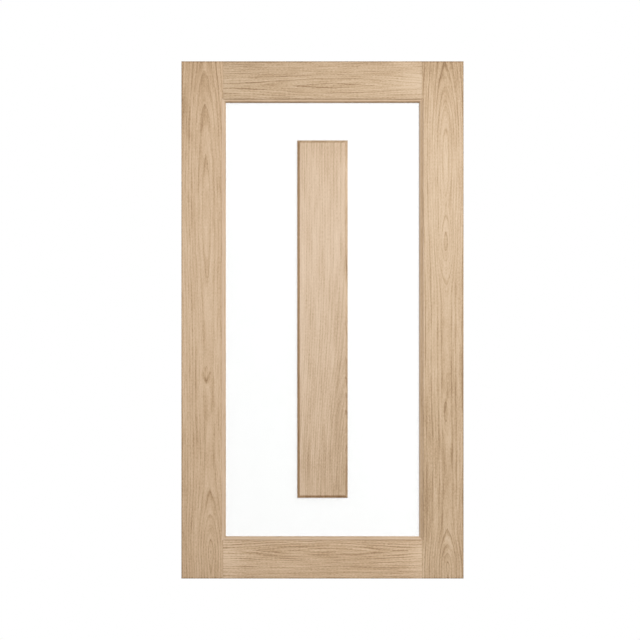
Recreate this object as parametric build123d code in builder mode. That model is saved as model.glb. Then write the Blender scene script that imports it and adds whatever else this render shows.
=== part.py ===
from build123d import *
import os

# Glazed oak entrance door leaf, in millimetres.
# X runs from the hinge edge to the lock edge, Y from outside to inside, Z up from the foot.
# The origin is at the foot of the hinge edge, at mid-thickness.

# Leaf
leaf_width = 1200.0
leaf_height = 2200.0
leaf_thickness = 44.0

# Members, from the leaf's edge to the wall of the glazing rebate
stile_width = 172.0
top_rail_width = 160.0
bottom_rail_width = 163.0

# Layers of a member
facing_thickness = 2.0
lipping_width = 8.0
lip_width = 20.0
arris_radius = 1.5

# Stile facings reach past the moulding's line over the rails' ends
facing_lap = 5.0
joint_gap = 0.1
joint_arris = 0.5

# Ovolo moulding round the glass, outside and on the beads inside
moulding_width = 17.0
moulding_fillet = 1.2
quirk_width = 1.8
quirk_depth = 2.5
scribe_gap = 0.2
mitre_gap = 0.1

# Stub tenons of the rails
tenon_length = 55.0
tenon_thickness = 12.0
tenon_inset = 32.0
tenon_gap = 0.3

# Sealed glass unit and what holds it
pane_thickness = 4.0
cavity_width = 12.0
unit_gap = 3.0
spacer_width = 8.0
spacer_setback = 4.0
tape_thickness = 2.0
tape_width = 9.0
block_length = 100.0
block_inset = 160.0

# Centre boards on the glass, set a little above the middle of the opening
board_width = 214.0
board_height = 1520.0
board_rise = 2.0
bevel_width = 10.5
bevel_depth = 8.5
board_tape_thickness = 1.0
board_tape_setback = 12.0

# Distances from the middle of the thickness
face_depth = leaf_thickness / 2
body_depth = face_depth - facing_thickness
unit_depth = cavity_width / 2 + pane_thickness
seat_depth = unit_depth + tape_thickness

# Rebated opening
opening_left = stile_width
opening_right = leaf_width - stile_width
opening_bottom = bottom_rail_width
opening_top = leaf_height - top_rail_width
opening_width = opening_right - opening_left
opening_height = opening_top - opening_bottom
opening_centre = ((opening_left + opening_right) / 2, 0, (opening_bottom + opening_top) / 2)
unit_width = opening_width - 2 * unit_gap
unit_height = opening_height - 2 * unit_gap

outside = -1
inside = 1

# Every member and every side of the opening has a plane at its start: x points from the leaf's
# edge towards the glass, y from outside to inside, and z along the piece.
up = (0, 0, 1)
down = (0, 0, -1)
to_lock = (1, 0, 0)
to_hinge = (-1, 0, 0)

stiles = {
    "hinge_stile": Plane(origin=(0, 0, 0), x_dir=to_lock, z_dir=up),
    "lock_stile": Plane(origin=(leaf_width, 0, leaf_height), x_dir=to_hinge, z_dir=down),
}
rails = {
    "top_rail": (Plane(origin=(opening_left, 0, leaf_height), x_dir=down, z_dir=to_lock), top_rail_width),
    "bottom_rail": (Plane(origin=(opening_right, 0, 0), x_dir=up, z_dir=to_hinge), bottom_rail_width),
}
sides = {
    "hinge_side": (Plane(origin=(opening_left, 0, opening_bottom), x_dir=to_lock, z_dir=up), opening_height),
    "lock_side": (Plane(origin=(opening_right, 0, opening_top), x_dir=to_hinge, z_dir=down), opening_height),
    "top": (Plane(origin=(opening_left, 0, opening_top), x_dir=down, z_dir=to_lock), opening_width),
    "bottom": (Plane(origin=(opening_right, 0, opening_bottom), x_dir=up, z_dir=to_hinge), opening_width),
}

os.makedirs("parts", exist_ok=True)


def save(piece, name):
    piece.part.label = name
    export_step(piece.part, f"parts/{name}.step")


def layer(plane, start, end, front, back):
    # One layer of a member's section, between two distances from the plane's origin.
    with BuildSketch(plane) as section:
        with Locations(((start + end) / 2, (front + back) / 2)):
            Rectangle(end - start, abs(back - front))
    return section.sketch


def ovolo(wall, side, growth=0.0):
    # Outline of the ovolo and its fillet beside the rebate wall, or grown, of the scribe over it.
    shoulder = wall + quirk_width - growth
    sight = wall + moulding_width + growth
    seat = side * (seat_depth - growth)
    foot = side * (seat_depth + moulding_fillet)
    crown = side * (body_depth + growth)
    with BuildLine() as outline:
        Polyline((sight, foot), (sight, seat), (wall, seat), (wall, crown), (shoulder, crown))
        EllipticalCenterArc(
            (shoulder, foot), sight - shoulder, abs(crown - foot), start_angle=90 * side, arc_size=-90 * side
        )
    return outline.edges()


def moulding(plane, wall, side):
    # The ovolo with the quirk that parts it from the face.
    with BuildSketch(plane) as section:
        make_face(ovolo(wall, side))
        with Locations((wall + quirk_width / 2, side * (body_depth - quirk_depth / 2))):
            Rectangle(quirk_width, quirk_depth, mode=Mode.SUBTRACT)
    return section.sketch


def scribe(plane, wall, side):
    # What a piece scribed over the moulding is cut with.
    with BuildSketch(plane) as section:
        make_face(ovolo(wall, side, scribe_gap))
    return section.sketch


def tenon(plane, width, growth=0.0):
    # The tenon's section, between the inset from the rail's edge and the moulded lip.
    with BuildSketch(plane) as section:
        with Locations(((tenon_inset + width - lip_width) / 2, 0)):
            Rectangle(width - lip_width - tenon_inset + 2 * growth, tenon_thickness + 2 * growth)
    return section.sketch


def cut_mortises():
    # Mortises in the stiles for the tenons of both rails.
    reach = tenon_length + tenon_gap
    for plane, width in rails.values():
        extrude(tenon(plane.offset(-reach), width, tenon_gap), amount=opening_width + 2 * reach, mode=Mode.SUBTRACT)


def cut_scribes():
    # Both ends of a rail piece, scribed over the mouldings of the stiles.
    for plane in stiles.values():
        extrude(scribe(plane, stile_width, outside), amount=leaf_height, mode=Mode.SUBTRACT)


def cut_mitres(plane, length):
    # Both ends of a piece round the opening, cut at 45 degrees through the opening's corners.
    towards_glass = plane.x_dir
    for end, along in ((plane.origin, plane.z_dir), (plane.origin + plane.z_dir * length, -plane.z_dir)):
        mitre = Plane(origin=end, z_dir=along - towards_glass)
        split(bisect_by=mitre.offset(mitre_gap / 2), keep=Keep.TOP)


# Stiles: core, outer lipping and moulded inner lip, full height
for name, plane in stiles.items():
    with BuildPart() as stile_core:
        extrude(layer(plane, lipping_width, stile_width - lip_width, -body_depth, body_depth), amount=leaf_height)
        cut_mortises()
    save(stile_core, f"{name}_core")

    with BuildPart() as stile_lipping:
        extrude(layer(plane, 0, lipping_width, -body_depth, body_depth), amount=leaf_height)
    save(stile_lipping, f"{name}_lipping")

    with BuildPart() as stile_moulding:
        extrude(layer(plane, stile_width - lip_width, stile_width, -body_depth, body_depth), amount=leaf_height)
        extrude(moulding(plane, stile_width, outside), amount=leaf_height)
        cut_mortises()
    save(stile_moulding, f"{name}_moulding")

# Rails: the same pieces between the stiles, scribed over the stiles' mouldings
for name, (plane, width) in rails.items():
    with BuildPart() as rail_core:
        extrude(layer(plane, lipping_width, width - lip_width, -body_depth, body_depth), amount=opening_width)
        cut_scribes()
        extrude(tenon(plane.offset(-tenon_length), width), amount=opening_width + 2 * tenon_length)
    save(rail_core, f"{name}_core")

    with BuildPart() as rail_lipping:
        extrude(layer(plane, 0, lipping_width, -body_depth, body_depth), amount=opening_width)
        cut_scribes()
    save(rail_lipping, f"{name}_lipping")

    with BuildPart() as rail_moulding:
        extrude(layer(plane, width - lip_width, width, -body_depth, body_depth), amount=opening_width)
        extrude(moulding(plane, width, outside), amount=opening_width)
        cut_scribes()
    save(rail_moulding, f"{name}_moulding")


def leaf_edges(face, plane, reaches_ends):
    # The edges of a facing that lie on the leaf's outline.
    across_axis = Axis(plane.origin, plane.x_dir)
    along_axis = Axis(plane.origin, plane.z_dir)
    edges = face.edges().filter_by(along_axis).sort_by(across_axis)[:1]
    if reaches_ends:
        across = face.edges().filter_by(across_axis).sort_by(along_axis)
        edges += [across[0], across[-1]]
    return edges


def ease_facing(sheet, plane, side, reaches_ends):
    # Small arrises at the joints and the quirk, rounder ones on the leaf's outline.
    shown_side = 0 if side == outside else -1
    shown = sheet.faces().sort_by(Axis.Y)[shown_side]
    chamfer(shown.edges() - leaf_edges(shown, plane, reaches_ends), length=joint_arris)
    shown = sheet.faces().sort_by(Axis.Y)[shown_side]
    fillet(leaf_edges(shown, plane, reaches_ends), radius=arris_radius)


# Oak facings on both sides: the stiles' lap over the rails' ends, the rails' fit between them
for side, side_name in ((outside, "front"), (inside, "back")):
    underside, shown_level = side * body_depth, side * face_depth
    for name, plane in stiles.items():
        beside_opening, length = sides[name.replace("stile", "side")]
        with BuildPart() as stile_facing:
            extrude(layer(plane, 0, stile_width + facing_lap, underside, shown_level), amount=leaf_height)
            extrude(
                layer(beside_opening, 0, facing_lap, underside, shown_level),
                amount=length,
                mode=Mode.SUBTRACT,
            )
            ease_facing(stile_facing, plane, side, True)
        save(stile_facing, f"{name}_{side_name}_facing")

    for name, (plane, width) in rails.items():
        start = facing_lap + joint_gap
        with BuildPart() as rail_facing:
            extrude(layer(plane.offset(start), 0, width, underside, shown_level), amount=opening_width - 2 * start)
            ease_facing(rail_facing, plane, side, False)
        save(rail_facing, f"{name}_{side_name}_facing")

# Glazing beads inside, mitred at the corners
for name, (plane, length) in sides.items():
    with BuildPart() as bead:
        extrude(moulding(plane, 0, inside), amount=length)
        cut_mitres(plane, length)
    save(bead, f"{name}_bead")

# Panes of the sealed unit
for side, pane_name in ((outside, "outer_pane"), (inside, "inner_pane")):
    with BuildPart() as pane:
        with BuildSketch(Plane(origin=opening_centre, x_dir=to_lock, z_dir=(0, side, 0)).offset(cavity_width / 2)):
            Rectangle(unit_width, unit_height)
        extrude(amount=pane_thickness)
    save(pane, pane_name)

# Spacer bars between the panes, mitred at the corners
for name, (plane, length) in sides.items():
    with BuildPart() as spacer:
        spacer_start = unit_gap + spacer_setback
        extrude(
            layer(plane, spacer_start, spacer_start + spacer_width, -cavity_width / 2, cavity_width / 2),
            amount=length,
        )
        cut_mitres(plane, length)
    save(spacer, f"{name}_spacer")

# Glazing tape on both sides of the unit, behind the moulding and under the beads
for side, tape_name in ((outside, "outer_glazing_tape"), (inside, "inner_glazing_tape")):
    with BuildPart() as tape:
        with BuildSketch(Plane(origin=opening_centre, x_dir=to_lock, z_dir=(0, side, 0)).offset(unit_depth)):
            Rectangle(unit_width, unit_height)
            Rectangle(unit_width - 2 * tape_width, unit_height - 2 * tape_width, mode=Mode.SUBTRACT)
        extrude(amount=tape_thickness)
    save(tape, tape_name)

# Blocks that the unit stands on in the bottom rebate
with BuildPart() as glazing_blocks:
    with BuildSketch(Plane(origin=(opening_centre[0], 0, opening_bottom))):
        with GridLocations(opening_width - 2 * block_inset, 0, 2, 1):
            Rectangle(block_length, 2 * unit_depth)
    extrude(amount=unit_gap)
save(glazing_blocks, "glazing_blocks")

# Centre boards with bevelled edges, each bonded to its pane
for side, side_name in ((outside, "front"), (inside, "back")):
    board_centre = (opening_centre[0], 0, opening_centre[2] + board_rise)
    pane_face = Plane(origin=board_centre, x_dir=to_lock, z_dir=(0, side, 0)).offset(unit_depth)
    with BuildPart() as board_tape:
        with BuildSketch(pane_face):
            Rectangle(board_width - 2 * board_tape_setback, board_height - 2 * board_tape_setback)
        extrude(amount=board_tape_thickness)
    save(board_tape, f"{side_name}_board_tape")

    with BuildPart() as board:
        with BuildSketch(pane_face.offset(board_tape_thickness)):
            Rectangle(board_width, board_height)
        extrude(amount=face_depth - unit_depth - board_tape_thickness)
        shown = board.faces().sort_by(Axis.Y)[0 if side == outside else -1]
        chamfer(shown.edges(), length=bevel_width, length2=bevel_depth, reference=shown)
    save(board, f"{side_name}_board")
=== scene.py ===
import math

import bmesh
import bpy
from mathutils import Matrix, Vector
from mathutils.bvhtree import BVHTree


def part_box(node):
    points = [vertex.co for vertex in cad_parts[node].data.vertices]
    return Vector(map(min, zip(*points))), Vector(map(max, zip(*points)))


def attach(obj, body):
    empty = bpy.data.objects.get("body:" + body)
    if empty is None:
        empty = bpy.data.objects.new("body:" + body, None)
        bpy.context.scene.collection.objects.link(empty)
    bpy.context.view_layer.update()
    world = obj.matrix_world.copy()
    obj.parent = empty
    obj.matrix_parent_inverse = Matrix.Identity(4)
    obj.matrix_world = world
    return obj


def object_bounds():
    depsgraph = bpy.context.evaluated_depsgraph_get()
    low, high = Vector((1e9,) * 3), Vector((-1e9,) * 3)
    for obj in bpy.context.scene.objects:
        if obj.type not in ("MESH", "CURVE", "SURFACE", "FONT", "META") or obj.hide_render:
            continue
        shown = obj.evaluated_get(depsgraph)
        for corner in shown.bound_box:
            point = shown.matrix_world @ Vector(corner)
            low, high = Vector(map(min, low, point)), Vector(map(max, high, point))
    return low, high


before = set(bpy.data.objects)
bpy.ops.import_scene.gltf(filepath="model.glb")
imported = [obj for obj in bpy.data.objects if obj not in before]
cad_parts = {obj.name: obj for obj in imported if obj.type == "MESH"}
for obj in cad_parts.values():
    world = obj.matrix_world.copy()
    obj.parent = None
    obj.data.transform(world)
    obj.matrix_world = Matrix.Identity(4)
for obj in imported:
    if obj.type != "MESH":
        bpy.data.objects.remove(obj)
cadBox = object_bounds()

hingeEdge, outsideFace, foot = cadBox[0]
lockEdge, insideFace, head = cadBox[1]
leafWidth = lockEdge - hingeEdge
leafHeight = head - foot
print("Leaf loaded:", round(leafWidth, 3), "by", round(leafHeight, 3), "m,", len(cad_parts), "nodes")


# Camera

cameraView = {
    "distance": 6.0,
    "viewWidth": 2.7222,      # metres of door that fill the picture, which has no perspective
    "leftOfMiddle": 0.0106,   # the door stands a little right of the picture's middle
    "belowMiddle": 0.0003,
    "farthest": 30.0,
}


def addCamera(view):
    camera = bpy.data.objects.new("camera", bpy.data.cameras.new("camera"))
    bpy.context.scene.collection.objects.link(camera)
    camera.location = (
        hingeEdge + leafWidth / 2 - view["leftOfMiddle"],
        outsideFace - view["distance"],
        foot + leafHeight / 2 - view["belowMiddle"],
    )
    camera.rotation_euler = (math.radians(90), 0, 0)
    camera.data.type = "ORTHO"
    camera.data.ortho_scale = view["viewWidth"]
    camera.data.clip_end = view["farthest"]
    camera.data.dof.use_dof = False
    bpy.context.scene.camera = camera


addCamera(cameraView)
bpy.context.scene.view_settings.view_transform = "Standard"
print("Camera set")


# Shader building

def fromScreen(red, green, blue):
    # a colour as a screen shows it, 0 to 255, as the linear colour that a shader takes
    def linear(level):
        share = level / 255
        return share / 12.92 if share <= 0.04045 else ((share + 0.055) / 1.055) ** 2.4
    return (linear(red), linear(green), linear(blue), 1.0)


def darker(colour, share):
    return tuple(level * share for level in colour[:3]) + (1.0,)


def findSocket(sockets, key):
    if isinstance(key, int):
        return sockets[key]
    return next(s for s in sockets if key in (s.identifier, s.name))


class Strand:
    # a socket that can stand in a sum or a product

    def __init__(self, finish, socket):
        self.finish = finish
        self.socket = socket

    def __add__(self, other):
        return self.finish.math("ADD", self, other)

    def __radd__(self, other):
        return self.finish.math("ADD", other, self)

    def __sub__(self, other):
        return self.finish.math("SUBTRACT", self, other)

    def __rsub__(self, other):
        return self.finish.math("SUBTRACT", other, self)

    def __mul__(self, other):
        return self.finish.math("MULTIPLY", self, other)

    def __rmul__(self, other):
        return self.finish.math("MULTIPLY", other, self)

    def __truediv__(self, other):
        return self.finish.math("DIVIDE", self, other)

    def __rtruediv__(self, other):
        return self.finish.math("DIVIDE", other, self)

    def __neg__(self):
        return self.finish.math("MULTIPLY", self, -1.0)

    def __abs__(self):
        return self.finish.math("ABSOLUTE", self)

    def squared(self):
        return self.finish.math("MULTIPLY", self, self)

    def root(self):
        return self.finish.math("SQRT", self)

    def part(self):
        return self.finish.math("FRACT", self)

    def whole(self):
        return self.finish.math("FLOOR", self)

    def bell(self):
        # 1 where the value is 0, falling away on both sides
        return self.finish.math("EXPONENT", -self.squared())

    def least(self, other):
        return self.finish.math("MINIMUM", self, other)

    def held(self):
        # kept between 0 and 1
        return self.finish.math("MAXIMUM", self, 0.0).least(1.0)

    def rise(self, start):
        # in each step of 1, nothing up to the start and from there growing to 1
        return ((self.part() - start) / (1.0 - start)).held().squared()


class Finish:
    # one material, or the world, and the nodes that make it

    def __init__(self, name, world=None):
        self.material = world or bpy.data.materials.new(name)
        self.material.use_nodes = True
        self.tree = self.material.node_tree
        self.tree.nodes.clear()

    def add(self, kind, settings=None, sockets=None, output=0):
        node = self.tree.nodes.new(kind)
        for key, value in (settings or {}).items():
            if key == "stops":
                self.setStops(node.color_ramp, value)
            else:
                setattr(node, key, value)
        for key, value in (sockets or {}).items():
            socket = findSocket(node.inputs, key)
            if isinstance(value, Strand):
                self.tree.links.new(value.socket, socket)
            else:
                socket.default_value = value
        return Strand(self, findSocket(node.outputs, output)) if node.outputs else node

    def setStops(self, ramp, stops):
        while len(ramp.elements) < len(stops):
            ramp.elements.new(0.5)
        for element, (place, colour) in zip(ramp.elements, stops):
            element.position = place
            element.color = colour

    def math(self, operation, *values):
        return self.add("ShaderNodeMath", {"operation": operation}, dict(enumerate(values)))

    def place(self):
        # metres in the door's own frame, as three strands
        spot = self.add("ShaderNodeTexCoord", output="Object")
        split = self.add("ShaderNodeSeparateXYZ", sockets={"Vector": spot})
        outputs = split.socket.node.outputs
        return [Strand(self, outputs[axis]) for axis in "XYZ"]

    def noise(self, x, y, z, detail=2.0, roughness=0.5):
        spot = self.add("ShaderNodeCombineXYZ", sockets={"X": x, "Y": y, "Z": z})
        return self.add(
            "ShaderNodeTexNoise", {"noise_dimensions": "3D"},
            {"Vector": spot, "Scale": 1.0, "Detail": detail, "Roughness": roughness},
        )

    def noiseAlong(self, value):
        return self.add(
            "ShaderNodeTexNoise", {"noise_dimensions": "1D"}, {"W": value, "Scale": 1.0, "Detail": 0.0}
        )

    def ramp(self, value, stops):
        return self.add("ShaderNodeValToRGB", {"stops": stops}, {"Fac": value})

    def mix(self, share, first, second, blend="MIX"):
        return self.add(
            "ShaderNodeMix", {"data_type": "RGBA", "blend_type": blend},
            {"Factor_Float": share, "A_Color": first, "B_Color": second}, "Result_Color",
        )

    def bump(self, height, strength, distance):
        return self.add(
            "ShaderNodeBump", sockets={"Height": height, "Strength": strength, "Distance": distance}
        )

    def close(self, sockets):
        surface = self.add("ShaderNodeBsdfPrincipled", sockets=sockets)
        self.closeWith(surface)

    def closeWith(self, surface):
        self.add("ShaderNodeOutputMaterial", sockets={"Surface": surface})


def dress(node, finish):
    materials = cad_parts[node].data.materials
    materials.clear()
    materials.append(finish.material)


# Oak

# a scale is how often a pattern comes in a metre
oakHabit = {
    "swayScale": (7, 2.2),    # across and along the board
    "ringChange": 0.9,        # how soon a faint ring follows a strong one
    "earlyFrom": 0.45,        # where in each ring the dark early wood starts
    "earlyTone": 0.03,
    "threadFrom": 0.3,
    "wanderAcross": 12,
    "fadeScale": (0.8, 9),    # from thread to thread, and across
    "fadeFrom": 0.3,
    "fadeGain": 2.5,
    "streakAcross": 24,
    "streakGrit": 0.65,       # how much of a pattern's finest detail shows
    "broadScale": (26, 2.6),
    "fibreAcross": 210,
    "fleckAcross": 330,
    "fibreGrit": 0.6,
    "fibreRipple": 0.004,
    "poreWidth": 0.0004,
    "poreLength": 0.011,
    "poreFrom": 0.56,         # the higher, the fewer pores
    "poreGain": 7,
    "latePores": 0.25,        # how clear the pores are outside the early wood
    "poreTone": 0.25,
    "roughness": 0.62,
    "poreRoughness": 0.2,
    "fleckRoughness": 0.1,
    "poreRelief": 0.00012,
    "earlyRelief": 0.25,
    "fleckRelief": 0.3,
    "reliefStrength": 0.25,
    "sheen": 0.2,             # raw oak has little gloss
    "jointReach": 0.0022,     # how far the shade of a joint reaches into the stile
    "jointTone": 0.3,
    "arrisReach": 0.008,      # the rounded outline of the leaf is painted a little darker, as painted shade
    "arrisTone": 0.35,
}


def boardPlace(finish, node, runs):
    # across, along and into the board, from its middle line, its foot or left end, and its face
    low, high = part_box(node)
    x, y, z = finish.place()
    facesOut = low.y < outsideFace / 2
    into = y - low.y if facesOut else high.y - y
    if runs == "up":
        return x - (low.x + high.x) / 2, z - foot, into
    return z - (low.z + high.z) / 2, x - hingeEdge, into


# from the dark of the pores to the pale of the summer wood, as shares of a board's average colour
toneSteps = [
    (0.0, (0.50, 0.43, 0.35)),
    (0.3, (0.80, 0.76, 0.70)),
    (0.55, (1.0, 1.0, 1.0)),
    (1.0, (1.22, 1.30, 1.42)),
]


def tones(average):
    def shade(by):
        return tuple(min(level * share, 1.0) for level, share in zip(average, by)) + (1.0,)
    return [(place, shade(by)) for place, by in toneSteps]


def spots(across, along, marks):
    # the sum of soft patches, each with its place, its reach and its strength
    total = 0.0
    for spotAcross, spotAlong, reachAcross, reachAlong, strength in marks:
        patch = ((across - spotAcross) / reachAcross).bell() * ((along - spotAlong) / reachAlong).bell()
        total = patch * strength + total
    return total


def oakFinish(node, runs, board, *moreShade):
    wood = Finish(node.replace("_", " ") + " oak")
    across, along, into = boardPlace(wood, node, runs)
    seed = board["seed"]

    # the grain sways slowly and ripples a little
    swayAcross, swayAlong = oakHabit["swayScale"]
    sway = wood.noise(across * swayAcross, along * swayAlong + seed, into * swayAcross, detail=1.0) - 0.5
    rippleAcross, rippleAlong = board["rippleScale"]
    ripple = wood.noise(across * rippleAcross + seed, along * rippleAlong, into * rippleAcross) - 0.5
    side = across - board["centre"] - along * board["lean"] + sway * board["sway"]

    # how deep the pith lies under the face: where its depth changes, the rings close into arches
    deep = into + board["pith"]
    for spot, reach, rings in board["crowns"]:
        deep = deep + ((along - spot) / reach).bell() * (rings * board["ringWidth"])
    radius = (side.squared() + deep.squared()).root() + abs(side) * board["point"] + ripple * board["ripple"]
    radius = radius + spots(across, along, board["eyes"])

    # each ring grows dark to its outer edge, and finer lines lie between the strong ones
    ring = (radius - board["pith"]) / board["ringWidth"] + board["rest"]
    strength = wood.noiseAlong(ring * oakHabit["ringChange"] + seed)
    early = ring.rise(oakHabit["earlyFrom"])

    # long thin lines and streaks follow the rings, and fade in and out along the board
    wanderAcross = oakHabit["wanderAcross"]
    wander = wood.noise(across * wanderAcross + seed, along * board["threadWave"], into * wanderAcross) - 0.5
    thread = radius * board["threads"] + wander * board["threadWander"]
    fadeByThread, fadeAcross = oakHabit["fadeScale"]
    fade = wood.noise(thread * fadeByThread + seed, along * board["fadeAlong"], side * fadeAcross, detail=1.0)
    line = thread.rise(oakHabit["threadFrom"]) * ((fade - oakHabit["fadeFrom"]) * oakHabit["fadeGain"]).held()
    streak = wood.noise(
        radius * board["streakScale"] + seed,
        along / board["streakLength"],
        side * oakHabit["streakAcross"],
        roughness=oakHabit["streakGrit"],
    ) - 0.5

    # flecks and pores run with the fibres
    fibreSide = side + ripple * oakHabit["fibreRipple"]
    broadAcross, broadAlong = oakHabit["broadScale"]
    broad = wood.noise(fibreSide * broadAcross, along * broadAlong + seed, into * broadAcross) - 0.5
    fibreAcross = oakHabit["fibreAcross"]
    fibre = wood.noise(
        fibreSide * fibreAcross + seed,
        along * board["fibreAlong"],
        into * fibreAcross,
        roughness=oakHabit["fibreGrit"],
    ) - 0.5
    fleckAcross = oakHabit["fleckAcross"]
    fleck = wood.noise(
        fibreSide * fleckAcross,
        along * board["fleckAlong"] + seed,
        into * fleckAcross,
        roughness=oakHabit["fibreGrit"],
    ) - 0.5
    poreWidth = oakHabit["poreWidth"]
    cells = wood.noise(
        fibreSide / poreWidth, along / oakHabit["poreLength"] + seed, into / poreWidth, detail=0.0
    )
    pores = ((cells - oakHabit["poreFrom"]) * oakHabit["poreGain"]).held()
    pores = pores * (early * (1.0 - oakHabit["latePores"]) + oakHabit["latePores"])

    tone = (
        board["tone"]
        - early * (strength * (fade + 0.5) * board["contrast"] + oakHabit["earlyTone"])
        - line * board["lines"]
        + broad * board["broad"]
        + streak * board["streaks"]
        + fibre * board["fibres"]
        + fleck * board["flecks"]
        - pores * oakHabit["poreTone"]
        + spots(across, along, board["shades"])
    )
    for shade in moreShade:
        tone = shade(wood, tone)
    colour = wood.ramp(tone, tones(board["colour"]))
    if "paintedShadeTint" in board:
        share, tint = board["paintedShadeTint"](wood)
        colour = wood.mix(share, colour, tint, "MULTIPLY")
    roughness = oakHabit["roughness"] + pores * oakHabit["poreRoughness"] + fleck * oakHabit["fleckRoughness"]
    relief = 1.0 - pores - early * oakHabit["earlyRelief"] + fleck * oakHabit["fleckRelief"]
    wood.close({
        "Base Color": colour,
        "Roughness": roughness,
        "Specular IOR Level": oakHabit["sheen"],
        "Normal": wood.bump(relief, oakHabit["reliefStrength"], oakHabit["poreRelief"]),
    })
    return wood


def paintedArrisShade(wood, tone):
    # painted shade along the rounded outline of the leaf
    x, y, z = wood.place()
    nearest = (x - hingeEdge).least(lockEdge - x).least(z - foot).least(head - z)
    return tone - (1.0 - nearest / oakHabit["arrisReach"]).held() * oakHabit["arrisTone"]


# a crown is (place along, reach, rings gained), an eye or a shade (across, along, both reaches, strength)
stileHabit = {
    "ringWidth": 0.0110, "pith": 0.050, "point": 0.05,
    "sway": 0.012, "ripple": 0.004, "rippleScale": (40, 11),
    "tone": 0.675, "contrast": 0.56, "broad": 0.50,
    "lines": 0.22, "threads": 150, "threadWave": 3.0, "threadWander": 1.2, "fadeAlong": 7.0,
    "streaks": 0.64, "streakScale": 150, "streakLength": 0.13,
    "fibres": 0.50, "fibreAlong": 14, "flecks": 0.85, "fleckAlong": 100,
}
# a knot is drawn with short strokes, from its top to its foot
hingeStileKnot = [
    (0.0105, 0.894, 0.005, 0.013, -0.26), (0.005, 0.870, 0.0055, 0.015, -0.36),
    (0.010, 0.850, 0.006, 0.011, -0.34), (0.019, 0.840, 0.007, 0.011, -0.38),
    (0.032, 0.874, 0.005, 0.013, -0.28), (0.027, 0.854, 0.005, 0.014, -0.36),
]
# the point where the long arch of the hinge stile closes
hingeStileTip = [
    (0.0215, 1.262, 0.005, 0.012, -0.24), (0.014, 1.295, 0.0035, 0.03, -0.16),
    (0.029, 1.295, 0.0035, 0.03, -0.16),
]
lockStileKnot = [
    (0.018, 0.862, 0.004, 0.012, -0.20), (0.026, 0.868, 0.004, 0.011, -0.18),
    (0.0215, 0.828, 0.0045, 0.022, -0.20), (0.0205, 0.788, 0.0055, 0.024, -0.32),
    (0.0145, 0.752, 0.005, 0.016, -0.26), (0.0096, 0.720, 0.0055, 0.024, -0.36),
]
# the wide shades across the heads of the stiles are painted shade, darker towards the top
hingeStileFace = dict(
    stileHabit,
    colour=fromScreen(204, 175, 143),
    seed=3.1, centre=0.038, lean=-0.0126, rest=1.45, contrast=0.51, streaks=0.60,
    crowns=[(1.545, 0.33, -0.91), (2.35, 0.292, 2.38), (0.0, 0.235, -5.7)],
    eyes=[(0.016, 0.87, 0.010, 0.05, -0.0099)],
    shades=[(0.014, 1.95, 0.022, 0.06, -0.07), (0.018, 1.77, 0.012, 0.04, -0.10),
            (-0.026, 0.82, 0.004, 0.3, -0.14), (0.0, 0.0, 0.2, 0.5, -0.08), (0.0, 2.2, 0.2, 0.18, -0.20),
            (0.0, 1.4, 0.2, 0.5, 0.04), (-0.055, 1.883, 0.008, 0.02, -0.14),
            (-0.055, 0.883, 0.005, 0.015, -0.16), (-0.07, 1.98, 0.035, 0.22, -0.14),
            (-0.07, 0.2, 0.03, 0.4, -0.08), (0.02, 1.1, 0.05, 0.25, 0.09)]
           + hingeStileKnot + hingeStileTip,
)
lockStileFace = dict(
    stileHabit,
    colour=fromScreen(202, 175, 144),
    pith=0.045, tone=0.655,
    seed=7.4, centre=0.0235, lean=-0.0064, rest=3.4,
    crowns=[(1.795, 0.314, -3.14), (2.33, 0.332, 1.454), (0.0, 0.135, -4.6)],
    eyes=[(0.012, 1.419, 0.030, 0.110, -0.0326), (0.011, 0.71, 0.010, 0.05, -0.0113)],
    shades=[(0.015, 1.42, 0.007, 0.05, -0.14), (0.014, 1.59, 0.004, 0.012, -0.2),
            (0.0, 2.13, 0.012, 0.015, -0.14), (0.016, 1.74, 0.014, 0.10, 0.14),
            (-0.06, 1.86, 0.006, 0.02, -0.12),
            (0.037, 0.82, 0.004, 0.3, -0.12), (0.078, 0.82, 0.004, 0.3, -0.12),
            (0.0, 1.6, 0.2, 0.45, 0.08), (0.0, 0.45, 0.2, 0.45, -0.14), (0.0, 2.2, 0.2, 0.17, -0.26),
            (-0.004, 1.60, 0.03, 0.22, 0.14), (-0.07, 0.42, 0.03, 0.35, -0.12),
            (0.02, 0.08, 0.06, 0.08, -0.08), (0.018, 0.77, 0.03, 0.06, -0.08)]
           + lockStileKnot,
)
railHabit = {
    "ringWidth": 0.0085, "pith": 0.080, "point": 0.45, "lean": 0.0,
    "ripple": 0.006, "rippleScale": (20, 15),
    "contrast": 0.66, "broad": 0.3,
    "lines": 0.40, "threads": 150, "threadWave": 5.0, "threadWander": 1.5, "fadeAlong": 6.0,
    "streaks": 0.75, "streakScale": 190, "streakLength": 0.16,
    "fibres": 0.85, "fibreAlong": 9, "flecks": 1.2, "fleckAlong": 100,
}
# the long shade along the top edge of the top rail is painted shade
topRailFace = dict(
    railHabit,
    colour=fromScreen(196, 169, 138),
    seed=12.7, centre=-0.025, rest=0.45, sway=0.014, tone=0.695,
    crowns=[(0.645, 0.27, -2.14)],
    eyes=[],
    shades=[(0.0, 1.0, 0.08, 0.09, 0.22), (-0.03, 0.97, 0.03, 0.10, 0.14), (-0.02, 0.55, 0.03, 0.2, -0.06),
            (0.0, 0.36, 0.2, 0.14, -0.07), (0.08, 0.6, 0.025, 1.0, -0.12)],
)
bottomRailFace = dict(
    railHabit,
    colour=fromScreen(204, 175, 143),
    seed=18.3, centre=0.038, rest=0.45, sway=0.018,
    tone=0.745, contrast=0.85, lines=0.55, streaks=0.9,
    crowns=[(0.626, 0.27, -2.14)],
    eyes=[],
    shades=[(0.0, 0.20, 0.09, 0.06, 0.22), (0.0, 1.02, 0.09, 0.06, 0.26), (0.03, 0.62, 0.03, 0.25, -0.10),
            (0.0, 0.80, 0.2, 0.20, -0.10), (0.06, 0.38, 0.03, 0.10, -0.12)],
)
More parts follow.
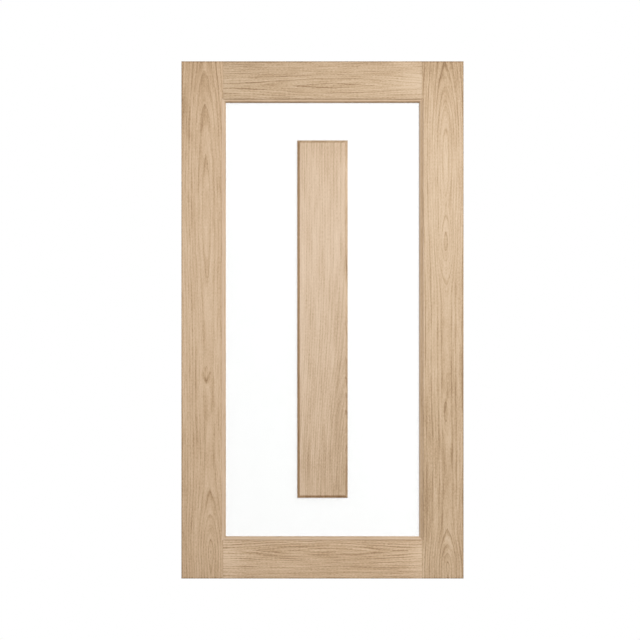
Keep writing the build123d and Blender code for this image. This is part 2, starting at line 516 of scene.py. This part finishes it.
frontFaces = {
    "hinge_stile_front_facing": ("up", hingeStileFace),
    "lock_stile_front_facing": ("up", lockStileFace),
    "top_rail_front_facing": ("along", topRailFace),
    "bottom_rail_front_facing": ("along", bottomRailFace),
}
railStart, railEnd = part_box("top_rail_front_facing")
beadLow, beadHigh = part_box("hinge_side_bead")
openingMiddle = (beadLow.z + beadHigh.z) / 2
openingReach = (beadHigh.z - beadLow.z) / 2


def stileShade(joint):
    # a stile is a little darker along its joints with the rails, above and below the opening
    def shade(wood, tone):
        x, y, z = wood.place()
        besideRail = wood.math("GREATER_THAN", abs(z - openingMiddle), openingReach)
        byJoint = (1.0 - abs(x - joint) / oakHabit["jointReach"]).held()
        return tone - byJoint * besideRail * oakHabit["jointTone"]
    return shade


jointShades = {"hinge": [stileShade(railStart.x)], "lock": [stileShade(railEnd.x)]}


def dressFace(node, runs, board):
    side = node.split("_")[0]
    dress(node, oakFinish(node, runs, board, paintedArrisShade, *jointShades.get(side, [])))


for node, (runs, board) in frontFaces.items():
    dressFace(node, runs, board)

# the inside faces are cut from other boards of the same kind, with their arches lower down
backFaceChange = {"seedStep": 31.0, "lower": 0.25}
for node, (runs, board) in frontFaces.items():
    turned = dict(
        board,
        seed=board["seed"] + backFaceChange["seedStep"],
        centre=-board["centre"],
        lean=-board["lean"],
        crowns=[(spot - backFaceChange["lower"], reach, rings) for spot, reach, rings in board["crowns"]],
        eyes=[],
        shades=[],
    )
    dressFace(node.replace("front", "back"), runs, turned)
print("Stiles and rails faced in oak")

straightOak = {
    "colour": fromScreen(200, 172, 142),
    "ringWidth": 0.0050, "rest": 0.25, "centre": 0.16, "lean": 0.0, "pith": 0.11, "point": 0.0,
    "sway": 0.008, "ripple": 0.003, "rippleScale": (40, 11),
    "crowns": [], "eyes": [], "shades": [],
    "tone": 0.62, "contrast": 0.3, "broad": 0.3,
    "lines": 0.1, "threads": 190, "threadWave": 3.0, "threadWander": 1.0, "fadeAlong": 4.0,
    "streaks": 0.4, "streakScale": 150, "streakLength": 0.10,
    "fibres": 0.3, "fibreAlong": 9, "flecks": 0.5, "fleckAlong": 80,
}
stripSeeds = {"moulding": 40.0, "lipping": 57.0, "bead": 75.0, "step": 3.7}
solidRuns = {"hinge_stile": "up", "lock_stile": "up", "top_rail": "along", "bottom_rail": "along"}
beadRuns = {"hinge_side_bead": "up", "lock_side_bead": "up", "top_bead": "along", "bottom_bead": "along"}

# painted shade in the groove beside the moulding and on its steep side, and a painted highlight on its crest,
# set for each member by how it faces the light
mouldingPaintedLight = {
    "crestReach": 0.0028,
    "slopeFrom": 0.0085,      # the steep side towards the glass, painted darker or paler by how it faces the light
    "slopeReach": 0.003,
    # dust is painted shade in the groove; the crest and slope values paint highlight and shade
    "hinge_stile": {"groove": 0.002, "dust": 0.0, "crest": 0.0025, "crestPaintedLight": 1.2, "slopePaintedLight": 0.0},
    "lock_stile": {"groove": 0.0025, "dust": 0.1, "crest": 0.0075, "crestPaintedLight": -0.25, "slopePaintedLight": -0.1},
    "top_rail": {"groove": 0.006, "dust": 0.45, "crest": 0.0065, "crestPaintedLight": 0.2, "slopePaintedLight": 0.5},
    "bottom_rail": {"groove": 0.003, "dust": 0.25, "crest": 0.006, "crestPaintedLight": 0.3, "slopePaintedLight": 0.0},
}


def mouldingShade(member):
    low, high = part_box(member + "_moulding")
    width = beadHigh.x - beadLow.x    # the moulding is as wide as the beads
    paintedLight = mouldingPaintedLight[member]

    def shade(wood, tone):
        x, y, z = wood.place()
        if member == "hinge_stile":
            fromWall = x - (high.x - width)
        elif member == "lock_stile":
            fromWall = (low.x + width) - x
        elif member == "top_rail":
            fromWall = (low.z + width) - z
        else:
            fromWall = z - (high.z - width)
        # painted shade in the groove and on the steep side, painted highlight on the crest
        groove = (1.0 - abs(fromWall) / paintedLight["groove"]).held()
        crest = ((fromWall - paintedLight["crest"]) / mouldingPaintedLight["crestReach"]).bell()
        slope = ((fromWall - mouldingPaintedLight["slopeFrom"]) / mouldingPaintedLight["slopeReach"]).held()
        return tone - groove * paintedLight["dust"] + crest * paintedLight["crestPaintedLight"] - slope * paintedLight["slopePaintedLight"]
    return shade


def stripOak(kind, count):
    return dict(straightOak, seed=stripSeeds[kind] + stripSeeds["step"] * count)


for count, (member, runs) in enumerate(solidRuns.items()):
    moulding = member + "_moulding"
    lipping = member + "_lipping"
    dress(moulding, oakFinish(moulding, runs, stripOak("moulding", count), mouldingShade(member)))
    dress(lipping, oakFinish(lipping, runs, stripOak("lipping", count), paintedArrisShade))
for count, (node, runs) in enumerate(beadRuns.items()):
    dress(node, oakFinish(node, runs, stripOak("bead", count)))
print("Mouldings, lippings and beads in straight oak")

# the wide shade across the head of the board is painted shade, darker towards the top
centreBoard = {
    "colour": fromScreen(210, 184, 156),
    "ringWidth": 0.0090, "rest": 0.25, "centre": 0.16, "lean": 0.0, "pith": 0.13, "point": 0.0,
    "sway": 0.010, "ripple": 0.003, "rippleScale": (30, 6),
    "crowns": [(0.33, 0.50, -10.5)],    # the lines lean over to the right in the lower half
    "eyes": [],
    "shades": [(0.0, 1.86, 0.3, 0.10, -0.12), (0.0, 1.5, 0.3, 0.3, 0.05), (0.0, 0.3, 0.3, 0.5, -0.16),
               (0.09, 0.45, 0.012, 0.05, -0.12), (0.08, 0.75, 0.06, 0.5, -0.15),
               (-0.09, 0.9, 0.03, 0.5, 0.05)],
    "tone": 0.66, "contrast": 0.32, "broad": 0.50,
    "lines": 0.12, "threads": 130, "threadWave": 2.0, "threadWander": 2.0, "fadeAlong": 6.0,
    "streaks": 0.55, "streakScale": 110, "streakLength": 0.15,
    "fibres": 0.30, "fibreAlong": 14, "flecks": 0.65, "fleckAlong": 100,
}
bevelPaintedShade = {
    "from": 0.0003,
    "full": 0.0015,
    "tone": 0.28,                       # painted shade that darkens all four bevels
    "warmShade": (1.0, 0.86, 0.70, 1.0),    # and a painted warm shade on the left and the lower one, which face away from the key lamp
}


def bevelLooks(node):
    low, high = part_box(node)

    def cutAway(wood):
        into = boardPlace(wood, node, "up")[2]
        return ((into - bevelPaintedShade["from"]) / bevelPaintedShade["full"]).held()

    def shade(wood, tone):
        return tone - cutAway(wood) * bevelPaintedShade["tone"]

    # painted shade: the left and lower bevels are tinted warm brown
    def paintedShadeTint(wood):
        x, y, z = wood.place()
        leftAndLowerBevels = wood.math("LESS_THAN", (x - low.x).least(z - low.z), (high.x - x).least(high.z - z))
        return cutAway(wood) * leftAndLowerBevels, bevelPaintedShade["warmShade"]
    return shade, paintedShadeTint


boardSeeds = {"front_board": 90.2, "back_board": 96.8}
for node, seed in boardSeeds.items():
    shade, paintedShadeTint = bevelLooks(node)
    dress(node, oakFinish(node, "up", dict(centreBoard, seed=seed, paintedShadeTint=paintedShadeTint), shade))
print("Centre boards in oak")


# Pin holes of the loose beads, stopped with wax

beadPins = {
    "spacing": 0.19,
    "fromCorner": 0.085,
    "fromWall": 0.0075,
    "radius": 0.0012,
    "crown": 0.00022,      # the wax stands this much proud
    "profile": [(1.0, 0.0), (0.86, 0.55), (0.5, 0.9)],    # shares of the radius and of the crown
    "sunk": 0.0003,
    "segments": 18,
}
stoppingWax = {
    "colour": fromScreen(164, 128, 92),
    "darkest": 0.8,
    "cloudScale": 900,
    "roughness": 0.42,
    "cloudRoughness": 0.2,
    "relief": 0.0001,
    "reliefStrength": 0.3,
}


def waxFinish(look):
    wax = Finish("stopping wax")
    x, y, z = wax.place()
    scale = look["cloudScale"]
    cloud = wax.noise(x * scale, y * scale, z * scale, detail=3.0) - 0.5
    dark = darker(look["colour"], look["darkest"])
    wax.close({
        "Base Color": wax.ramp(0.5 + cloud, [(0.2, dark), (0.8, look["colour"])]),
        "Roughness": look["roughness"] + cloud * look["cloudRoughness"],
        "Normal": wax.bump(cloud, look["reliefStrength"], look["relief"]),
    })
    return wax


def addDome(shape, spot, normal, pins):
    # a low round dome with a closed back, standing on the bead's curved face
    turn = normal.to_track_quat("Z", "Y")
    levels = [(1.0, -pins["sunk"])] + [(reach, share * pins["crown"]) for reach, share in pins["profile"]]
    rings = []
    for reach, lift in levels:
        ring = []
        for step in range(pins["segments"]):
            angle = 2 * math.pi * step / pins["segments"]
            flat = Vector((math.cos(angle), math.sin(angle), 0)) * pins["radius"] * reach
            ring.append(shape.verts.new(spot + turn @ (flat + Vector((0, 0, lift)))))
        rings.append(ring)
    for lower, upper in zip(rings, rings[1:]):
        for step in range(pins["segments"]):
            after = (step + 1) % pins["segments"]
            shape.faces.new((lower[step], lower[after], upper[after], upper[step]))
    shape.faces.new(rings[-1])
    shape.faces.new(rings[0][::-1])


def addPins(node, runs, pins, wax):
    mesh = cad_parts[node].data
    surface = BVHTree.FromPolygons([v.co for v in mesh.vertices], [p.vertices for p in mesh.polygons])
    low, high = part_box(node)
    length = (high.z - low.z if runs == "up" else high.x - low.x) - 2 * pins["fromCorner"]
    count = round(length / pins["spacing"]) + 1
    shape = bmesh.new()
    for number in range(count):
        along = pins["fromCorner"] + length * number / (count - 1)
        if runs == "up":
            x = low.x + pins["fromWall"] if node.startswith("hinge") else high.x - pins["fromWall"]
            z = low.z + along
        else:
            x = low.x + along
            z = high.z - pins["fromWall"] if node.startswith("top") else low.z + pins["fromWall"]
        spot, normal = surface.ray_cast(Vector((x, insideFace * 2, z)), Vector((0, -1, 0)))[:2]
        addDome(shape, spot, normal, pins)
    piece = bpy.data.objects.new(node + "_pin_stopping", bpy.data.meshes.new(node + "_pin_stopping"))
    shape.to_mesh(piece.data)
    shape.free()
    piece.data.materials.append(wax.material)
    bpy.context.scene.collection.objects.link(piece)
    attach(piece, "root")


wax = waxFinish(stoppingWax)
for node, runs in beadRuns.items():
    addPins(node, runs, beadPins, wax)
print("Bead pins stopped")


# Cores of glued strips

coreStrips = {
    "colour": fromScreen(208, 178, 141),
    "width": 0.028,
    "seed": 5.0,
    "seedStep": 3.7,
    "ringScale": (260, 3, 160),    # across, along and into the core
    "ringShift": (5.3, 3),         # each strip shows another piece of the pattern
    "ringGrit": 0.6,
    "tone": 0.55,
    "stripTone": 0.5,
    "ringTone": 0.9,
    "glueShare": 0.04,             # how much of a strip's width its glue line takes
    "glueTone": 0.35,
    "roughness": 0.75,
    "ringRoughness": 0.1,
    "relief": 0.0002,
    "reliefStrength": 0.4,
    "sheen": 0.2,
}


def coreFinish(node, runs, core):
    wood = Finish(node.replace("_", " ") + " wood")
    across, along, into = boardPlace(wood, node, runs)
    place = across / core["width"] + 0.5
    strip = place.whole()
    stripTone = wood.noiseAlong(strip * core["seedStep"] + core["seed"]) - 0.5
    glue = ((abs(place.part() - 0.5) * 2 - (1 - core["glueShare"])) / core["glueShare"]).held()
    ringAcross, ringAlong, ringInto = core["ringScale"]
    shiftAcross, shiftInto = core["ringShift"]
    rings = wood.noise(
        across * ringAcross + strip * shiftAcross,
        along * ringAlong,
        into * ringInto + strip * shiftInto,
        roughness=core["ringGrit"],
    ) - 0.5
    tone = core["tone"] + stripTone * core["stripTone"] + rings * core["ringTone"] - glue * core["glueTone"]
    wood.close({
        "Base Color": wood.ramp(tone, tones(core["colour"])),
        "Roughness": core["roughness"] + rings * core["ringRoughness"],
        "Specular IOR Level": core["sheen"],
        "Normal": wood.bump(rings, core["reliefStrength"], core["relief"]),
    })
    return wood


for member, runs in solidRuns.items():
    dress(member + "_core", coreFinish(member + "_core", runs, coreStrips))
print("Cores made of glued strips")


# Glass

satinGlass = {
    "colour": (0.93, 0.94, 0.935, 1.0),
    "cover": 0.23,          # how much the etched face hides what is behind it
    "glow": 0.11,           # painted glow: an emission that stands in for light from behind, scattered forward by the etched face
    "topPaintedGlow": 0.65,        # its share at the top, where the key lamp lights the pane more, so the painted glow evens the pane out
    "roughness": 0.42,
    "haze": 0.06,           # how uneven the etching is
    "hazeCover": 0.3,       # how much of that shows in the cover
    "hazeScale": 3.1,
}
clearGlass = dict(
    satinGlass,
    colour=(0.96, 0.98, 0.97, 1.0),
    cover=0.06,
    glow=0.0,
    topPaintedGlow=1.0,
    roughness=0.04,
    haze=0.02,
)


def glassFinish(name, pane):
    glass = Finish(name)
    x, y, z = glass.place()
    scale = pane["hazeScale"]
    haze = glass.noise(x * scale, y * scale, z * scale, detail=3.0) - 0.5
    dimmed = darker(pane["colour"], pane["topPaintedGlow"])
    glass.close({
        "Base Color": pane["colour"],
        "Roughness": pane["roughness"] + haze * pane["haze"],
        "Alpha": pane["cover"] + haze * pane["haze"] * pane["hazeCover"],
        # the pane's emission is painted light, weaker towards the top
        "Emission Color": glass.ramp((z - foot) / leafHeight, [(0.1, pane["colour"]), (0.9, dimmed)]),
        "Emission Strength": pane["glow"],
    })
    return glass


dress("outer_pane", glassFinish("satin glass", satinGlass))
dress("inner_pane", glassFinish("clear glass", clearGlass))


# Spacer bars, tapes and setting blocks

spacerBar = {
    "colour": fromScreen(205, 207, 209),
    "darkest": 0.85,
    "rollScale": (30, 2400, 30),    # fine lines from the rolling run round the unit
    "roughness": 0.34,
    "rollRoughness": 0.2,
}
foamTape = {
    "colour": fromScreen(214, 212, 207),
    "dustiest": 0.85,
    "dustScale": 12,
    "cellScale": 1400,
    "cellTone": 0.4,
    "roughness": 0.9,
    "cellRoughness": 0.1,
    "relief": 0.0003,
    "reliefStrength": 0.5,
}
settingBlock = dict(foamTape, colour=fromScreen(88, 92, 96), roughness=0.55)


def spacerFinish(name, bar):
    metal = Finish(name)
    x, y, z = metal.place()
    scaleX, scaleY, scaleZ = bar["rollScale"]
    rolled = metal.noise(x * scaleX, y * scaleY, z * scaleZ) - 0.5
    dark = darker(bar["colour"], bar["darkest"])
    metal.close({
        "Base Color": metal.ramp(0.5 + rolled, [(0.0, dark), (1.0, bar["colour"])]),
        "Metallic": 1.0,
        "Roughness": bar["roughness"] + rolled * bar["rollRoughness"],
    })
    return metal


def tapeFinish(name, tape):
    foam = Finish(name)
    x, y, z = foam.place()
    fine = tape["cellScale"]
    wide = tape["dustScale"]
    cells = foam.noise(x * fine, y * fine, z * fine) - 0.5
    dust = foam.noise(x * wide, y * wide, z * wide, detail=3.0)
    dull = darker(tape["colour"], tape["dustiest"])
    foam.close({
        "Base Color": foam.ramp(dust + cells * tape["cellTone"], [(0.2, dull), (0.8, tape["colour"])]),
        "Roughness": tape["roughness"] + cells * tape["cellRoughness"],
        "Normal": foam.bump(cells, tape["reliefStrength"], tape["relief"]),
    })
    return foam


bars = spacerFinish("spacer aluminium", spacerBar)
for side in ("hinge_side", "lock_side", "top", "bottom"):
    dress(side + "_spacer", bars)
tapes = tapeFinish("foam tape", foamTape)
for node in ("outer_glazing_tape", "inner_glazing_tape", "front_board_tape", "back_board_tape"):
    dress(node, tapes)
dress("glazing_blocks", tapeFinish("setting block", settingBlock))
print("Glass, spacers, tapes and blocks finished")


# Light and floor

lampSetup = {
    "worldLight": 0.08,
    "keyPlace": (4.5, -7.93, 4.57),
    "keyPower": 885.0,
    "keySize": 3.1,
    "backPlaces": [(-3.6, 3.4, 3.5), (4.8, 3.4, 3.5)],    # each lights the inside, the head and one edge
    "backPower": 225.0,
    "backSize": 2.4,
}


def addLamp(name, place, power, size, aim):
    lamp = bpy.data.objects.new(name, bpy.data.lights.new(name, "AREA"))
    bpy.context.scene.collection.objects.link(lamp)
    lamp.location = place
    lamp.rotation_euler = (Vector(aim) - Vector(place)).to_track_quat("-Z", "Y").to_euler()
    lamp.data.energy = power
    lamp.data.size = size


middle = (hingeEdge + leafWidth / 2, 0.0, foot + leafHeight / 2)
addLamp("key lamp", lampSetup["keyPlace"], lampSetup["keyPower"], lampSetup["keySize"], middle)
for side, place in zip(("hinge", "lock"), lampSetup["backPlaces"]):
    addLamp("back lamp, " + side + " side", place, lampSetup["backPower"], lampSetup["backSize"], middle)


def addWorld(light):
    world = bpy.data.worlds.new("studio")
    bpy.context.scene.world = world
    studio = Finish("studio", world)
    path = studio.add("ShaderNodeLightPath", output="Is Camera Ray").socket.node.outputs
    seen = (Strand(studio, path["Is Camera Ray"]) + Strand(studio, path["Is Glossy Ray"])
            + Strand(studio, path["Is Transmission Ray"])).held()
    dim = studio.add("ShaderNodeBackground", sockets={"Color": (1, 1, 1, 1), "Strength": light})
    white = studio.add("ShaderNodeBackground", sockets={"Color": (1, 1, 1, 1), "Strength": 1.0})
    both = studio.add("ShaderNodeMixShader", sockets={0: seen, 1: dim, 2: white})
    studio.add("ShaderNodeOutputWorld", sockets={"Surface": both})


addWorld(lampSetup["worldLight"])

floorSetup = {
    "reach": 7.0,
    "segments": 96,
    "colour": (0.4, 0.4, 0.4, 1.0),
    "lift": 0.60,                # makes the unshaded floor read white
    "whiteFrom": 1.2,            # the shadow fades out between these two radii
    "whiteBy": 3.2,
    "drop": 0.0005,
}


def addFloor(setup):
    mesh = bpy.data.meshes.new("floor")
    shape = bmesh.new()
    bmesh.ops.create_circle(shape, cap_ends=True, segments=setup["segments"], radius=setup["reach"])
    shape.to_mesh(mesh)
    shape.free()
    floor = bpy.data.objects.new("floor", mesh)
    floor.location = (middle[0], 0.0, foot - setup["drop"])
    bpy.context.scene.collection.objects.link(floor)
    paper = Finish("pale floor")
    seen = paper.add("ShaderNodeLightPath", output="Is Camera Ray")
    x, y, z = paper.place()
    outward = (x.squared() + y.squared()).root()
    far = ((outward - setup["whiteFrom"]) / (setup["whiteBy"] - setup["whiteFrom"])).held()
    plain = paper.add("ShaderNodeBsdfDiffuse", sockets={"Color": setup["colour"]})
    glow = paper.add("ShaderNodeEmission", sockets={"Color": (1, 1, 1, 1), "Strength": setup["lift"]})
    white = paper.add("ShaderNodeEmission", sockets={"Color": (1, 1, 1, 1), "Strength": 1.0})
    lifted = paper.add("ShaderNodeAddShader", sockets={0: plain, 1: glow})
    shown = paper.add("ShaderNodeMixShader", sockets={0: far, 1: lifted, 2: white})
    paper.closeWith(paper.add("ShaderNodeMixShader", sockets={0: seen, 1: plain, 2: shown}))
    mesh.materials.append(paper.material)


addFloor(floorSetup)
print("Light and floor set")
